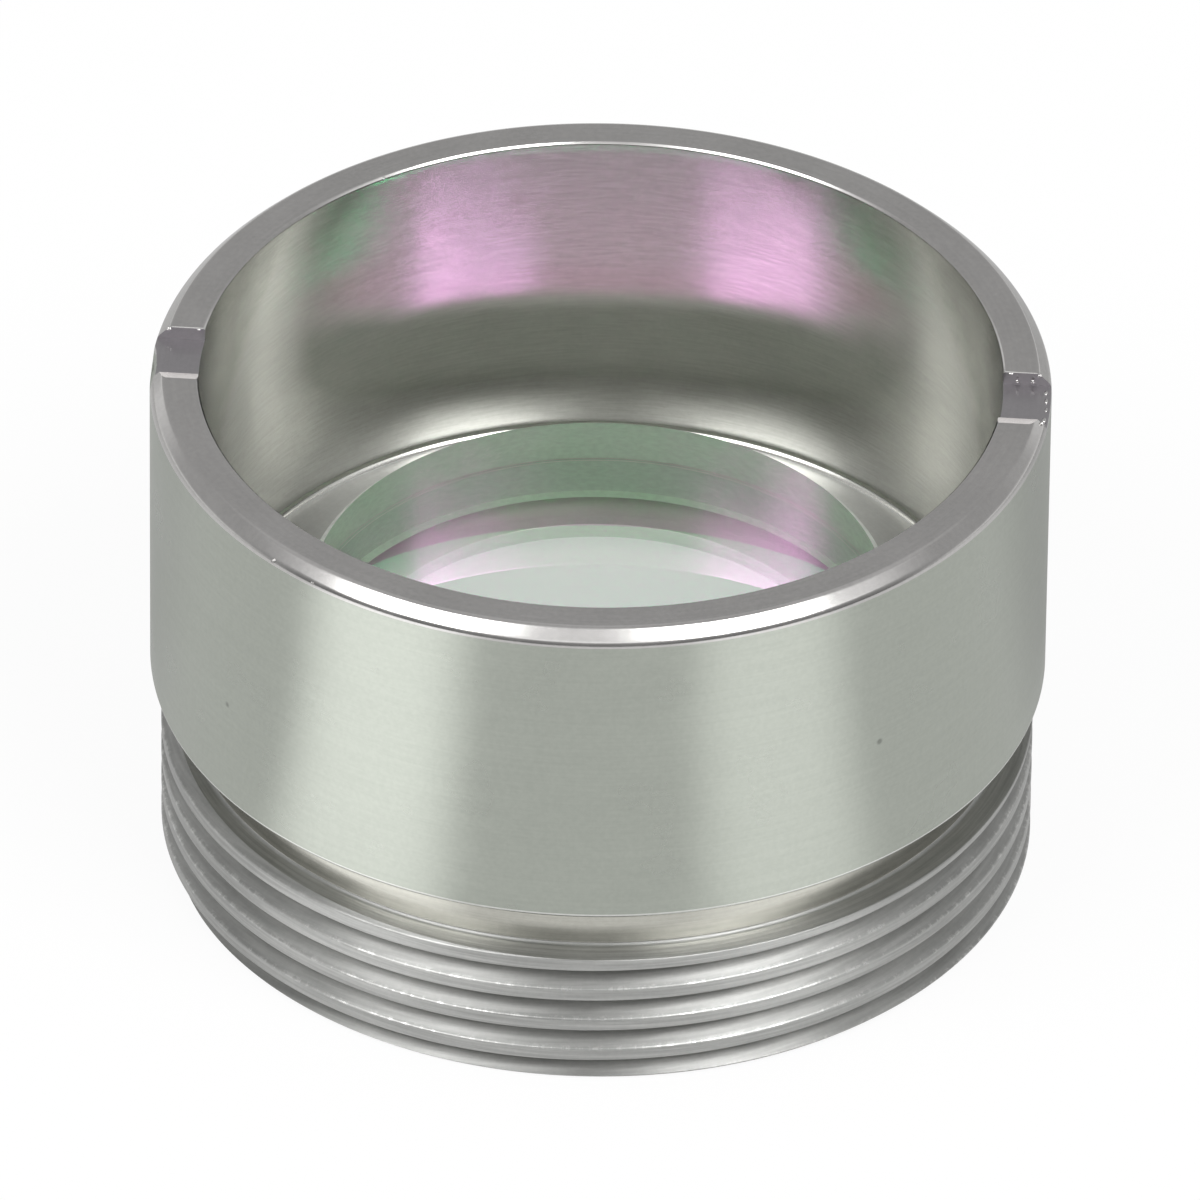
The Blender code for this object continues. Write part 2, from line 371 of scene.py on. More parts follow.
# Small damage: centre in millimetres and half sizes along X, Y and Z
NICKS = [
    ((-6.19, -0.25, 7.42), (0.18, 0.80, 0.28)),
    ((-4.05, -4.58, 7.38), (0.06, 0.04, 0.04)),
    ((-3.49, -5.03, 7.38), (0.04, 0.03, 0.03)),
    ((3.88, -4.68, 7.49), (0.06, 0.03, 0.05)),
    ((4.02, -4.55, 7.50), (0.03, 0.04, 0.04)),
    ((6.11, -0.74, 7.36), (0.03, 0.10, 0.05)),
    ((1.40, -5.98, 7.51), (0.05, 0.03, 0.03)),
    ((3.32, 4.40, 7.53), (0.03, 0.02, 0.02)),
]
BURRS = [
    ((-5.93, 0.505, 7.515), (0.045, 0.025, 0.030)),
    ((-5.52, 0.505, 7.525), (0.035, 0.020, 0.020)),
    ((5.54, 0.505, 7.525), (0.045, 0.025, 0.022)),
    ((5.63, 0.450, 7.440), (0.025, 0.020, 0.030)),
    ((5.84, 0.460, 7.440), (0.030, 0.020, 0.030)),
    ((5.93, 0.510, 7.515), (0.045, 0.025, 0.025)),
    ((6.03, 0.320, 7.360), (0.035, 0.050, 0.022)),
    ((6.05, 0.125, 7.360), (0.030, 0.060, 0.025)),
    ((6.06, -0.070, 7.355), (0.025, 0.050, 0.018)),
    ((6.05, -0.330, 7.365), (0.035, 0.060, 0.030)),
    ((6.03, -0.520, 7.450), (0.030, 0.030, 0.030)),
    ((-3.34, 4.34, 7.530), (0.030, 0.035, 0.020)),
]


def lump(bm, centre, sizes, turn):
    """Rough pebble, a squashed and turned icosphere with uneven corners."""
    grown = bmesh.ops.create_icosphere(bm, subdivisions=2, radius=MM)
    tilt = Matrix.Rotation(turn.uniform(-LUMP_TILT, LUMP_TILT), 4, "Y")
    place = Matrix.Translation(Vector(centre) * MM) @ tilt
    for vert in grown["verts"]:
        vert.co *= turn.uniform(LUMP_LEAST, 1.0)
        vert.co = place @ Vector(length * size for length, size in zip(vert.co, sizes))


def nick_cutters():
    turn = random.Random(NICK_SEED)
    cutters = []
    for number, (centre, sizes) in enumerate(NICKS):
        bm = bmesh.new()
        lump(bm, centre, sizes, turn)
        cutters.append(new_piece(f"nick_cutter_{number}", bm, []))
    return cutters


def make_slot_burrs(material):
    """Rolled-over metal that the slot cutter left on the edges of the slots."""
    turn = random.Random(BURR_SEED)
    bm = bmesh.new()
    for centre, sizes in BURRS:
        lump(bm, centre, sizes, turn)
    burrs = new_piece("slot_burrs", bm, [material])
    smooth_piece(burrs, ROUGH_ANGLE)
    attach(burrs, "root")


# Turned surfaces of the cell, in the order of its materials
BARREL, RIM, BORE, THREAD, SEAT, SLOT, RELIEF, SLOT_EDGE, LOWER_EDGE = range(9)

# Limits between those surfaces
HAIR = 0.001
WALL_MARGIN = 0.005
BEVEL_BAND = 0.1
LOWER_EDGE_TOP = BARREL_LOWER_EDGE * 1.4
LOWER_EDGE_INNER = BARREL_RADIUS - BARREL_LOWER_EDGE - 0.03
RELIEF_BASE = THREAD_LENGTH + 0.03
RELIEF_BAND = 0.08
THREAD_TOP = SHOULDER_HEIGHT + BARREL_LOWER_EDGE * 0.3
THREAD_INNER = RELIEF_RADIUS - 0.1
FLOOR_TOP = FLOOR_HEIGHT + 0.02
END_FACE_TOP = 0.01
RIM_BASE = RIM_HEIGHT - RIM_OUTER_CHAMFER - 0.05
BORE_WALL_LIMIT = BORE_RADIUS + 0.02
BORE_EDGE_LIMIT = BORE_RADIUS + 0.012
UPRIGHT_NORMAL = 0.5


def inside_wall(radius):
    return BORE_RADIUS + WALL_MARGIN < radius < BARREL_RADIUS - WALL_MARGIN


def in_slot(centre, radius):
    if abs(centre.y) > SLOT_WIDTH / 2 + HAIR or centre.z > RIM_HEIGHT - FAR_EDGE_DROP:
        return False
    return centre.z > RIM_HEIGHT - SLOT_DEPTH - WALL_MARGIN and inside_wall(radius)


def on_near_slot_edge(centre, radius):
    """Whether a face lies on the wide bevel along the near side of a slot."""
    across = -centre.y - SLOT_WIDTH / 2
    drop = RIM_HEIGHT - centre.z
    in_width = HAIR < across < NEAR_EDGE_WIDTH - HAIR
    in_drop = HAIR < drop < NEAR_EDGE_DROP - HAIR
    off_bevel = abs(drop / NEAR_EDGE_DROP - 1.0 + across / NEAR_EDGE_WIDTH)
    return in_width and in_drop and inside_wall(radius) and off_bevel < BEVEL_BAND


def on_lower_edge(centre, radius):
    """Whether a face lies on the rounded edge under the barrel."""
    above_shoulder = centre.z - SHOULDER_HEIGHT
    return HAIR < above_shoulder < LOWER_EDGE_TOP and radius > LOWER_EDGE_INNER


def in_relief(centre, radius):
    between = RELIEF_BASE < centre.z < SHOULDER_HEIGHT + SHOULDER_DISH
    return between and abs(radius - RELIEF_RADIUS) < RELIEF_BAND


def cell_region(face):
    """Which turned surface a face of the cell lies on."""
    centre = face.center / MM
    radius = math.hypot(centre.x, centre.y)
    if in_slot(centre, radius):
        return SLOT
    if on_lower_edge(centre, radius):
        return LOWER_EDGE
    if on_near_slot_edge(centre, radius):
        return SLOT_EDGE
    if in_relief(centre, radius):
        return RELIEF
    if centre.z < THREAD_TOP and radius > THREAD_INNER:
        return THREAD
    if (centre.z < FLOOR_TOP and radius < BORE_RADIUS) or centre.z < END_FACE_TOP:
        return SEAT
    if centre.z < RIM_BASE:
        return BORE if radius < BORE_WALL_LIMIT else BARREL
    if radius < BORE_EDGE_LIMIT and abs(face.normal.z) < UPRIGHT_NORMAL:
        return BORE
    return RIM


def make_lens_cell(materials):
    outline = held(rounded_profile(cell_corners()))
    cell = turned("turned_lens_cell", outline, CELL_SEGMENTS, materials)
    cut(cell, [thread_cutter(), slot_cutter()] + nick_cutters())
    smooth_piece(cell)
    for face in cell.data.polygons:
        face.material_index = cell_region(face)
    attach(cell, "root")
    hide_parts("lens_cell")


# Lens pair


def sag(curve_radius, radius):
    return curve_radius - math.sqrt(curve_radius ** 2 - radius ** 2)


def curve_points(height, curve_radius, inner, outer, bulge):
    """Points of a spherical surface; bulge is 1 where it rises away from the axis."""
    points = []
    for step in range(CURVE_RINGS + 1):
        radius = inner + (outer - inner) * step / CURVE_RINGS
        points.append((radius, height + bulge * sag(curve_radius, radius)))
    return points


# Surfaces of a lens element, in the order of its materials
OUTER_FACE, JOINT_FACE, GROUND_EDGE = range(3)
JOINT_BAND = 0.03
POLISHED_NORMAL = 0.8


def mark_lens_faces(piece, joint_height):
    """Give the outer face, the cemented face and the ground edge their own materials."""
    for face in piece.data.polygons:
        centre = face.center / MM
        radius = math.hypot(centre.x, centre.y)
        joint = joint_height - sag(CEMENTED_CURVE, min(radius, LENS_RADIUS))
        if abs(face.normal.z) < POLISHED_NORMAL:
            face.material_index = GROUND_EDGE
        elif abs(centre.z - joint) < JOINT_BAND:
            face.material_index = JOINT_FACE
        else:
            face.material_index = OUTER_FACE


def make_crown_element(materials):
    top = CROWN_BASE + CROWN_THICKNESS
    lower = curve_points(CROWN_BASE, OUTER_CROWN_CURVE, 0.0, LENS_RADIUS - LENS_BEVEL, 1)
    upper = curve_points(top, CEMENTED_CURVE, LENS_RADIUS, 0.0, -1)
    bevel = (LENS_RADIUS, lower[-1][1] + LENS_BEVEL)
    crown = turned("polished_crown", lower + [bevel] + upper, LENS_SEGMENTS, materials)
    mark_lens_faces(crown, top)
    smooth_piece(crown)
    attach(crown, "root")
    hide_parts("crown_element")


def make_flint_element(materials):
    base = CROWN_BASE + CROWN_THICKNESS + CEMENT_THICKNESS + 2 * CEMENT_CLEARANCE
    lower = curve_points(base, CEMENTED_CURVE, 0.0, LENS_RADIUS, -1)
    upper = curve_points(LENS_TOP, OUTER_FLINT_CURVE, LENS_RADIUS - LENS_BEVEL, 0.0, -1)
    bevel = (LENS_RADIUS, upper[0][1] - LENS_BEVEL)
    flint = turned("polished_flint", lower + [bevel] + upper, LENS_SEGMENTS, materials)
    mark_lens_faces(flint, base)
    smooth_piece(flint)
    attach(flint, "root")
    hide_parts("flint_element")


def make_optical_cement(materials):
    base = CROWN_BASE + CROWN_THICKNESS + CEMENT_CLEARANCE
    edge = LENS_RADIUS - CEMENT_SETBACK
    lower = curve_points(base, CEMENTED_CURVE, 0.0, edge, -1)
    upper = curve_points(base + CEMENT_THICKNESS, CEMENTED_CURVE, edge, 0.0, -1)
    cement = turned("cement_layer", lower + upper, LENS_SEGMENTS, materials)
    for face in cement.data.polygons:
        face.material_index = int(abs(face.normal.z) < POLISHED_NORMAL)
    smooth_piece(cement)
    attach(cement, "root")
    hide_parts("optical_cement")


def make_edge_bond(material):
    inner = LENS_RADIUS + BOND_CLEARANCE
    corners = [
        (inner, BOND_BASE, 0.0),
        (BOND_RADIUS, BOND_BASE, 0.0),
        (BOND_RADIUS, BOND_TOP, 0.015),
        (inner, BOND_TOP, 0.015),
    ]
    bond = turned("adhesive_sleeve", held(rounded_profile(corners)), LENS_SEGMENTS, [material])
    smooth_piece(bond)
    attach(bond, "root")
    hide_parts("edge_bond")


# Materials

# Noise scales on object coordinates in metres
MOTTLE_SCALE = 900.0
SPECKLE_SCALE = 14000.0
PIT_SCALE = 620.0
GROUND_SCALE = 9000.0
CLOUD_SCALE = 1500.0

# Stretch of the turned lines: along the turn twice, then across it
TURNED_LINES = (3.0, 3.0, 22.0)
BORE_LINES = (10.0, 10.0, 34.0)
CREST_CHIPS = (45.0, 45.0, 30.0)

QUARTER_TURN = 0.25
MOTTLE_LEVEL = 0.025
MOTTLE_ROUGHNESS = 0.03
SPECKLE_LEVEL = 0.03
PIT_EDGES = (0.012, 0.040)
CREST_POLISH = 0.15
WORN_TOP = 0.2
WORN_FADE = 0.05


class Nodes:
    """Short way to add and link shader nodes."""

    def __init__(self, material):
        material.use_nodes = True
        self.tree = material.node_tree
        self.shader = self.tree.nodes.get("Principled BSDF")

    def add(self, kind, **settings):
        node = self.tree.nodes.new(kind)
        for name, value in settings.items():
            setattr(node, name, value)
        return node

    def link(self, source, target):
        self.tree.links.new(source, target)

    def feed(self, value, socket):
        if isinstance(value, bpy.types.NodeSocket):
            self.link(value, socket)
        else:
            socket.default_value = value

    def math(self, operation, first, second=0.0, third=0.0):
        node = self.add("ShaderNodeMath", operation=operation)
        for value, socket in zip((first, second, third), node.inputs):
            self.feed(value, socket)
        return node.outputs[0]

    def vector(self, x, y, z):
        node = self.add("ShaderNodeCombineXYZ")
        for value, socket in zip((x, y, z), node.inputs):
            self.feed(value, socket)
        return node.outputs[0]

    def noise(self, coordinates, scale, detail=2.0, roughness=0.5):
        node = self.add("ShaderNodeTexNoise")
        self.link(coordinates, node.inputs["Vector"])
        node.inputs["Scale"].default_value = scale
        node.inputs["Detail"].default_value = detail
        node.inputs["Roughness"].default_value = roughness
        return node.outputs["Fac"]

    def span(self, value, low, high, out_low, out_high):
        node = self.add("ShaderNodeMapRange", interpolation_type="SMOOTHSTEP")
        for given, socket in zip((value, low, high, out_low, out_high), node.inputs):
            self.feed(given, socket)
        return node.outputs[0]

    def stretch(self, coordinates, factors):
        node = self.add("ShaderNodeVectorMath", operation="MULTIPLY")
        self.link(coordinates, node.inputs[0])
        node.inputs[1].default_value = factors
        return node.outputs[0]

    def shade(self, colour, factor):
        """Colour times a factor."""
        node = self.add("ShaderNodeVectorMath", operation="SCALE")
        self.feed(colour, node.inputs[0])
        self.feed(factor, node.inputs["Scale"])
        return node.outputs[0]


def turning_coordinates(nodes):
    """Object coordinates wrapped on the turned form: slow round the axis, fast across."""
    object_point = nodes.add("ShaderNodeTexCoord").outputs["Object"]
    split = nodes.add("ShaderNodeSeparateXYZ")
    nodes.link(object_point, split.inputs[0])
    x, y, z = split.outputs
    squares = nodes.math("ADD", nodes.math("MULTIPLY", x, x), nodes.math("MULTIPLY", y, y))
    radius = nodes.math("SQRT", squares)
    across = nodes.math("MULTIPLY", nodes.math("ADD", radius, z), 1.0 / MM)
    unit_x = nodes.math("DIVIDE", x, radius)
    unit_y = nodes.math("DIVIDE", y, radius)
    return object_point, nodes.vector(unit_x, unit_y, across)


def crest_wear_and_highlight(nodes, point, lines):
    """1 on chips along the upper edge of the thread's crest, which runs on a helix: worn spots,
    whose brightening is also a painted highlight.
    """
    split = nodes.add("ShaderNodeSeparateXYZ")
    nodes.link(point, split.inputs[0])
    x, y, z = split.outputs
    turns = nodes.math("DIVIDE", nodes.math("ARCTAN2", y, x), math.tau)
    above_groove = nodes.math("SUBTRACT", z, GROOVE_HEIGHT_AT_X * MM)
    rise = nodes.math("DIVIDE", above_groove, THREAD_PITCH * MM)
    whole_turns = 10.0
    phase = nodes.math("FRACT", nodes.math("ADD", nodes.math("SUBTRACT", rise, turns), whole_turns))
    above = nodes.span(phase, 0.62, 0.67, 0.0, 1.0)
    below = nodes.span(phase, 0.69, 0.76, 1.0, 0.0)
    last_height = (THREAD_LENGTH + WORN_FADE) * MM
    low = nodes.span(z, (THREAD_LENGTH - WORN_TOP) * MM, last_height, 1.0, 0.0)
    chip_noise = nodes.noise(nodes.stretch(lines, CREST_CHIPS), 1.0, 4.0, 0.75)
    chips = nodes.span(chip_noise, 0.48, 0.62, 0.0, 1.0)
    edge = nodes.math("MULTIPLY", nodes.math("MULTIPLY", above, below), low)
    return nodes.math("MULTIPLY", edge, chips)


def small_pits(nodes, point, depth):
    """Darkening by up to depth at scattered small pits."""
    spots = nodes.add("ShaderNodeTexVoronoi")
    nodes.link(point, spots.inputs["Vector"])
    spots.inputs["Scale"].default_value = PIT_SCALE
    spots.inputs["Randomness"].default_value = 1.0
    return nodes.span(spots.outputs["Distance"], *PIT_EDGES, -depth, 0.0)


def steel_level(nodes, point, fine, mottle, lines_level, pits):
    """Brightness round 1: turned lines, mottle, speckle and, where pits isn't 0, small pits."""
    speckle = nodes.noise(point, SPECKLE_SCALE, 2.0, 0.6)
    level = nodes.math("ADD", nodes.span(fine, 0.25, 0.75, -lines_level, lines_level), 1.0)
    level = nodes.math("ADD", level, nodes.span(mottle, 0.3, 0.7, -MOTTLE_LEVEL, MOTTLE_LEVEL))
    level = nodes.math("ADD", level, nodes.span(speckle, 0.25, 0.75, -SPECKLE_LEVEL, SPECKLE_LEVEL))
    if pits:
        level = nodes.math("ADD", level, small_pits(nodes, point, pits))
    return level


def turned_steel(name, colour, *, roughness, line_depth, stretch, pits=0.0, lines_level=0.025,
                 crest=0.0, spread=QUARTER_TURN, grain=TURNED_LINES):
    """Fine turned stainless steel, its marks running round the axis.

    Its highlights spread along the axis when spread is a quarter turn, round it when 0.
    """
    material = bpy.data.materials.new(name)
    nodes = Nodes(material)
    shader = nodes.shader
    point, lines = turning_coordinates(nodes)
    fine = nodes.noise(nodes.stretch(lines, grain), 1.0, 3.0, 0.65)
    mottle = nodes.noise(point, MOTTLE_SCALE, 3.0, 0.6)
    level = steel_level(nodes, point, fine, mottle, lines_level, pits)
    rough = nodes.span(mottle, 0.3, 0.7, -MOTTLE_ROUGHNESS, MOTTLE_ROUGHNESS)
    rough = nodes.math("ADD", rough, roughness)
    if crest:
        wear_and_highlight = crest_wear_and_highlight(nodes, point, lines)
        # The chips get a brighter colour and less roughness: wear, and a painted highlight along
        # the crest's upper edge.
        level = nodes.math("ADD", level, nodes.math("MULTIPLY", wear_and_highlight, crest))
        rough = nodes.math("SUBTRACT", rough, nodes.math("MULTIPLY", wear_and_highlight, CREST_POLISH))
    nodes.link(nodes.shade(colour, level), shader.inputs["Base Color"])
    shader.inputs["Metallic"].default_value = 1.0
    nodes.link(rough, shader.inputs["Roughness"])
    shader.inputs["Anisotropic"].default_value = stretch
    shader.inputs["Anisotropic Rotation"].default_value = spread
    tangent = nodes.add("ShaderNodeTangent", direction_type="RADIAL", axis="Z")
    nodes.link(tangent.outputs[0], shader.inputs["Tangent"])
    bump = nodes.add("ShaderNodeBump")
    bump.inputs["Strength"].default_value = 1.0
    bump.inputs["Distance"].default_value = line_depth * MM
    nodes.link(fine, bump.inputs["Height"])
    nodes.link(bump.outputs[0], shader.inputs["Normal"])
    return material


def coated_glass(name, colour, *, ior, film, film_ior):
    """Polished face with a coating of film nanometres, which sets its reflected colour."""
    material = bpy.data.materials.new(name)
    shader = Nodes(material).shader
    shader.inputs["Base Color"].default_value = (*colour, 1.0)
    shader.inputs["Roughness"].default_value = 0.0
    shader.inputs["Transmission Weight"].default_value = 1.0
    shader.inputs["IOR"].default_value = ior
    shader.inputs["Thin Film Thickness"].default_value = film
    shader.inputs["Thin Film IOR"].default_value = film_ior
    return material


def clear_joint(name):
    """Cemented face: the cement takes the reflection away, so light goes straight on."""
    material = bpy.data.materials.new(name)
    shader = Nodes(material).shader
    shader.inputs["Base Color"].default_value = (1.0, 1.0, 1.0, 1.0)
    shader.inputs["Alpha"].default_value = 0.0
    return material


def ground_glass(name, colour, inner_colour):
    """Fine-ground edge and bevel of a lens, greener where it is seen through the glass."""
    material = bpy.data.materials.new(name)
    nodes = Nodes(material)
    shader = nodes.shader
    point = nodes.add("ShaderNodeTexCoord").outputs["Object"]
    grain = nodes.noise(point, GROUND_SCALE, 3.0, 0.6)
    level = nodes.span(grain, 0.25, 0.75, 0.9, 1.05)
    inside = nodes.add("ShaderNodeNewGeometry").outputs["Backfacing"]
    side = nodes.add("ShaderNodeMix", data_type="RGBA")
    nodes.link(inside, side.inputs["Factor"])
    side.inputs["A"].default_value = (*colour, 1.0)
    side.inputs["B"].default_value = (*inner_colour, 1.0)
    nodes.link(nodes.shade(side.outputs["Result"], level), shader.inputs["Base Color"])
    shader.inputs["Roughness"].default_value = 0.6
    shader.inputs["Transmission Weight"].default_value = 0.3
    shader.inputs["IOR"].default_value = 1.5
    return material


def cured_adhesive(name, colour, roughness):
    material = bpy.data.materials.new(name)
    nodes = Nodes(material)
    shader = nodes.shader
    point = nodes.add("ShaderNodeTexCoord").outputs["Object"]
    cloud = nodes.noise(point, CLOUD_SCALE, 3.0, 0.5)
    level = nodes.span(cloud, 0.3, 0.7, 0.88, 1.05)
    nodes.link(nodes.shade(colour, level), shader.inputs["Base Color"])
    shader.inputs["Roughness"].default_value = roughness
    return material


# Stage

# Floor, plain to the camera; only reflections see its own level and its painted pools of light and
# painted shade.
# FLOOR_HALF is in metres.
FLOOR_HALF = 3.0
FLOOR_GAP = 0.003
FLOOR_COLOUR = (0.80, 0.80, 0.80, 1.0)
FLOOR_ROUGHNESS = 0.9
FLOOR_LEVEL = 0.72
POOL_START = 6.4
POOL_FULL = 1.5
POOL_CORE = 0.2
PAINTED_FLOOR_POOLS = [
    # degrees from the camera's azimuth, half width in degrees, added level, which is painted light
    # where positive and painted shade where negative
    (-46.0, 23.5, 1.47),
    (37.0, 21.0, 0.882),
    (-140.0, 45.0, -0.26),
    (140.0, 45.0, -0.40),
]

# How much of the floor's own glow each kind of ray sees
CAMERA_SHARE = 0.92
THROUGH_SHARE = 0.40
MIRRORED_SHARE = 0.60


def painted_light_pool(nodes, along, azimuth_offset, spread, level):
    """Painted light that one pool adds to the floor, or painted shade that it takes from it where
    level is negative.
    """
    facing = nodes.add("ShaderNodeVectorMath", operation="DOT_PRODUCT")
    nodes.link(along, facing.inputs[0])
    facing.inputs[1].default_value = direction(CAMERA_AZIMUTH + math.radians(azimuth_offset), 0.0)
    edge = math.cos(math.radians(spread))
    core = math.cos(math.radians(spread * POOL_CORE))
    return nodes.span(facing.outputs["Value"], edge, core, 0.0, level)


def mirrored_floor_level(nodes):
    """Strength of the floor in reflections: its own level, and painted pools of light and shade
    outside the part.
    """
    point = nodes.add("ShaderNodeTexCoord").outputs["Object"]
    along = nodes.add("ShaderNodeVectorMath", operation="NORMALIZE")
    nodes.link(point, along.inputs[0])
    pools = 0.0
    for azimuth_offset, spread, level in PAINTED_FLOOR_POOLS:
        pool = painted_light_pool(nodes, along.outputs[0], azimuth_offset, spread, level)
        pools = nodes.math("ADD", pools, pool)
    radius = nodes.add("ShaderNodeVectorMath", operation="LENGTH")
    nodes.link(point, radius.inputs[0])
    start = POOL_START * MM
    clear = nodes.span(radius.outputs["Value"], start, start * POOL_FULL, 0.0, 1.0)
    return nodes.math("ADD", nodes.math("MULTIPLY", pools, clear), FLOOR_LEVEL)


def glowing_share(nodes, path):
    """How much of the glow a ray sees, by its kind."""
    camera = nodes.math("MULTIPLY", path.outputs["Is Camera Ray"], CAMERA_SHARE)
    through = nodes.math("MULTIPLY", path.outputs["Is Transmission Ray"], THROUGH_SHARE)
    mirrored = nodes.math("MULTIPLY", path.outputs["Is Glossy Ray"], MIRRORED_SHARE)
    return nodes.math("MAXIMUM", nodes.math("MAXIMUM", camera, through), mirrored)


def floor_material():
    """Pale matt floor mixed with a glow, which in reflections carries the painted pools of light
    and shade.
    """
    material = bpy.data.materials.new("pale_floor")
    nodes = Nodes(material)
    shader = nodes.shader
    shader.inputs["Base Color"].default_value = FLOOR_COLOUR
    shader.inputs["Roughness"].default_value = FLOOR_ROUGHNESS
    shader.inputs["Specular IOR Level"].default_value = 0.0
    path = nodes.add("ShaderNodeLightPath")
    strength = nodes.add("ShaderNodeMix", data_type="FLOAT")
    nodes.link(path.outputs["Is Glossy Ray"], strength.inputs["Factor"])
    strength.inputs["A"].default_value = 1.0
    nodes.link(mirrored_floor_level(nodes), strength.inputs["B"])
    glow = nodes.add("ShaderNodeEmission")
    glow.inputs["Color"].default_value = (1.0, 1.0, 1.0, 1.0)
    nodes.link(strength.outputs["Result"], glow.inputs["Strength"])
    mix = nodes.add("ShaderNodeMixShader")
    nodes.link(glowing_share(nodes, path), mix.inputs[0])
    nodes.link(shader.outputs[0], mix.inputs[1])
    nodes.link(glow.outputs[0], mix.inputs[2])
    nodes.link(mix.outputs[0], nodes.tree.nodes["Material Output"].inputs["Surface"])
    return material


def make_floor():
    half = FLOOR_HALF
    corners = [(-half, -half), (half, -half), (half, half), (-half, half)]
    bm = bmesh.new()
    bm.faces.new([bm.verts.new((x, y, -FLOOR_GAP * MM)) for x, y in corners])
    floor = new_piece("floor", bm, [floor_material()])


# Studio, brightness against height: on the camera's side, and on the side behind the part
FRONT_SKY = [
    (0.0, 0.18),
    (0.30, 0.28),
    (0.56, 0.42),
    (0.60, 1.50),
    (0.68, 1.18),
    (0.82, 0.86),
    (1.0, 0.52),
]
BACK_SKY = [
    (0.0, 0.45),
    (0.07, 1.05),
    (0.14, 0.80),
    (0.25, 0.48),
    (0.65, 0.46),
    (0.85, 0.62),
    (1.0, 0.52),
]
FRONT_BLEND = (-0.15, 0.35)


def sky_ramp(nodes, height, stops):
    """Brightness of the studio against height, from (height, level) stops."""
    ramp = nodes.add("ShaderNodeValToRGB")
    nodes.link(height, ramp.inputs[0])
    ramp.color_ramp.interpolation = "EASE"
    elements = ramp.color_ramp.elements
    while len(elements) < len(stops):
        elements.new(1.0)
    for element, (place, level) in zip(elements, stops):
        element.position = place
        element.color = (level, level, level, 1.0)
    return ramp.outputs[0]


def make_world():
    """Studio round the part: reflections see the sky ramps, a direct look sees white.

    The camera's side is dim low down and bright above it; the far side has a bright band
    just over the horizon.
    """
    world = bpy.data.worlds.new("studio")
    bpy.context.scene.world = world
    nodes = Nodes(world)
    background = nodes.tree.nodes["Background"]
    way = nodes.add("ShaderNodeTexCoord").outputs["Generated"]
    split = nodes.add("ShaderNodeSeparateXYZ")
    nodes.link(way, split.inputs[0])
    height = split.outputs["Z"]
    facing = nodes.add("ShaderNodeVectorMath", operation="DOT_PRODUCT")
    nodes.link(way, facing.inputs[0])
    facing.inputs[1].default_value = direction(CAMERA_AZIMUTH, 0.0)
    front = nodes.span(facing.outputs["Value"], *FRONT_BLEND, 0.0, 1.0)
    mix = nodes.add("ShaderNodeMix", data_type="RGBA")
    nodes.link(front, mix.inputs["Factor"])
    nodes.link(sky_ramp(nodes, height, BACK_SKY), mix.inputs["A"])
    nodes.link(sky_ramp(nodes, height, FRONT_SKY), mix.inputs["B"])
    path = nodes.add("ShaderNodeLightPath")
    camera = path.outputs["Is Camera Ray"]
    plain = nodes.math("MAXIMUM", camera, path.outputs["Is Transmission Ray"])
    seen = nodes.add("ShaderNodeMix", data_type="RGBA")
    nodes.link(plain, seen.inputs["Factor"])
    nodes.link(mix.outputs["Result"], seen.inputs["A"])
    seen.inputs["B"].default_value = (1.0, 1.0, 1.0, 1.0)
    nodes.link(seen.outputs["Result"], background.inputs["Color"])


SOFTBOX_DISTANCE = 350.0


def make_softbox(name, *, azimuth_offset, elevation, width, height, radiance, lean):
    """Area lamp that faces the part; its radiance is that of a white sheet times the value.

    The angles are in degrees, the azimuth from the camera's; width and height in millimetres.
    """
    data = bpy.data.lights.new(name, "AREA")
    data.shape = "RECTANGLE"
    data.size = width * MM
    data.size_y = height * MM
    data.energy = radiance * math.pi * data.size * data.size_y
    lamp = bpy.data.objects.new(name, data)
    bpy.context.scene.collection.objects.link(lamp)
    way = direction(CAMERA_AZIMUTH + math.radians(azimuth_offset), math.radians(elevation))
    target = Vector((0.0, 0.0, CAMERA_TARGET_HEIGHT * MM))
    lamp.location = way * SOFTBOX_DISTANCE * MM + target
    lamp.rotation_mode = "QUATERNION"
    roll = Quaternion((0.0, 0.0, 1.0), math.radians(lean))
    lamp.rotation_quaternion = way.to_track_quat("Z", "Y") @ roll
    lamp.visible_camera = False


def make_lights():
    make_softbox(
        "softbox_right",
        azimuth_offset=41.0,
        elevation=50.3,
        width=172.0,
        height=160.0,
        radiance=7.6,
        lean=-8.0,
    )
    make_softbox(
        "softbox_left",
        azimuth_offset=-51.5,
        elevation=47.8,
        width=180.0,
        height=160.0,
        radiance=5.4,
        lean=8.0,
    )


def make_camera():
    data = bpy.data.cameras.new("camera")
    data.lens = FOCAL_LENGTH
    data.sensor_width = SENSOR_WIDTH
    data.shift_x = SHIFT_X
    data.shift_y = SHIFT_Y
    data.clip_start = CLIP_START_METRES
    data.clip_end = CLIP_END_METRES
    camera = bpy.data.objects.new("camera", data)
    bpy.context.scene.collection.objects.link(camera)
    back = direction(CAMERA_AZIMUTH, CAMERA_ELEVATION)
    target = Vector((0.0, 0.0, CAMERA_TARGET_HEIGHT * MM))
    camera.location = target + back * CAMERA_DISTANCE * MM
    camera.rotation_mode = "QUATERNION"
    roll = Quaternion((0.0, 0.0, 1.0), CAMERA_ROLL)
    camera.rotation_quaternion = (-back).to_track_quat("-Z", "Y") @ roll
    bpy.context.scene.camera = camera


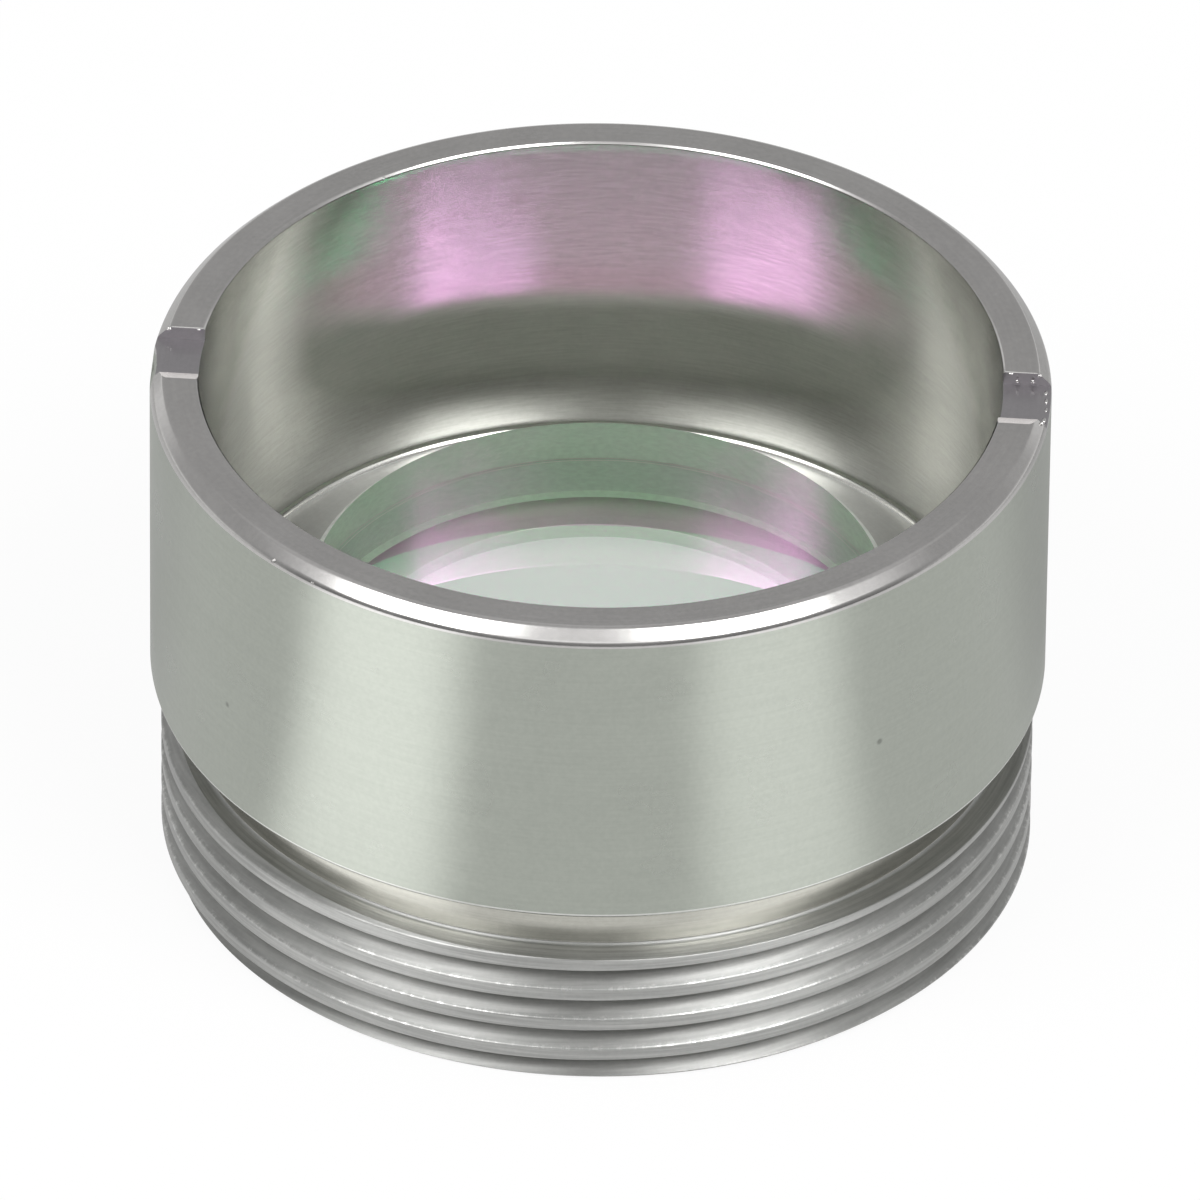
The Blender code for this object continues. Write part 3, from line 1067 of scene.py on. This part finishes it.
# Looks of the cell's surfaces, in the order of their region numbers
CELL_STEELS = {
    "barrel_steel": dict(colour=(0.425, 0.449, 0.403), roughness=0.30, line_depth=0.00008,
                         stretch=0.8, pits=0.4),
    "rim_steel": dict(colour=(0.55, 0.54, 0.53), roughness=0.18, line_depth=0.00010, stretch=0.0),
    "bore_steel": dict(colour=(0.535, 0.535, 0.505), roughness=0.18, line_depth=0.00002,
                       stretch=0.65, lines_level=0.07, spread=0.0, grain=BORE_LINES),
    "thread_steel": dict(colour=(0.44, 0.442, 0.43), roughness=0.44, line_depth=0.00060,
                         stretch=0.70, lines_level=0.18, crest=0.35),
    "seat_steel": dict(colour=(0.61, 0.615, 0.60), roughness=0.34, line_depth=0.00020, stretch=0.6),
    "slot_steel": dict(colour=(0.42, 0.405, 0.42), roughness=0.30, line_depth=0.00030, stretch=0.0),
    "relief_steel": dict(colour=(0.53, 0.525, 0.475), roughness=0.20, line_depth=0.00010,
                         stretch=0.4, lines_level=0.08),
    # The wide bevel along each slot's near edge is much paler than the rest of the same steel: a
    # painted highlight.
    "slot_edge_painted_highlight_steel": dict(colour=(0.90, 0.86, 0.84), roughness=0.25, line_depth=0.00010,
                            stretch=0.0),
    # The rounded edge under the barrel is paler than the barrel's own steel: a painted highlight.
    "lower_edge_painted_highlight_steel": dict(colour=(0.70, 0.71, 0.68), roughness=0.25, line_depth=0.00010,
                             stretch=0.0),
}
BURR_STEEL = dict(colour=(0.62, 0.61, 0.60), roughness=0.18, line_depth=0.0001, stretch=0.0)
GROUND_COLOUR = (0.92, 0.93, 0.90)


def make_part():
    make_lens_cell([turned_steel(name, **look) for name, look in CELL_STEELS.items()])
    make_slot_burrs(turned_steel("burr_steel", **BURR_STEEL))
    joint = clear_joint("cemented_face")
    crown_face = coated_glass("crown_coated", (1.0, 0.94, 1.0), ior=1.52, film=467.0, film_ior=2.2)
    crown_edge = ground_glass("crown_edge", GROUND_COLOUR, (0.62, 1.0, 0.70))
    make_crown_element([crown_face, joint, crown_edge])
    flint_face = coated_glass("flint_coated", (0.98, 0.98, 1.0), ior=1.62, film=289.0, film_ior=2.0)
    flint_edge = ground_glass("flint_edge", GROUND_COLOUR, (0.68, 1.0, 0.73))
    make_flint_element([flint_face, joint, flint_edge])
    make_optical_cement([joint, cured_adhesive("cement_edge", (0.85, 0.83, 0.72), 0.3)])
    make_edge_bond(cured_adhesive("edge_adhesive", (0.60, 0.57, 0.50), 0.35))


def main():
    scene = bpy.context.scene
    scene.view_settings.view_transform = "Standard"
    make_camera()
    make_part()
    make_floor()
    make_world()
    make_lights()


main()
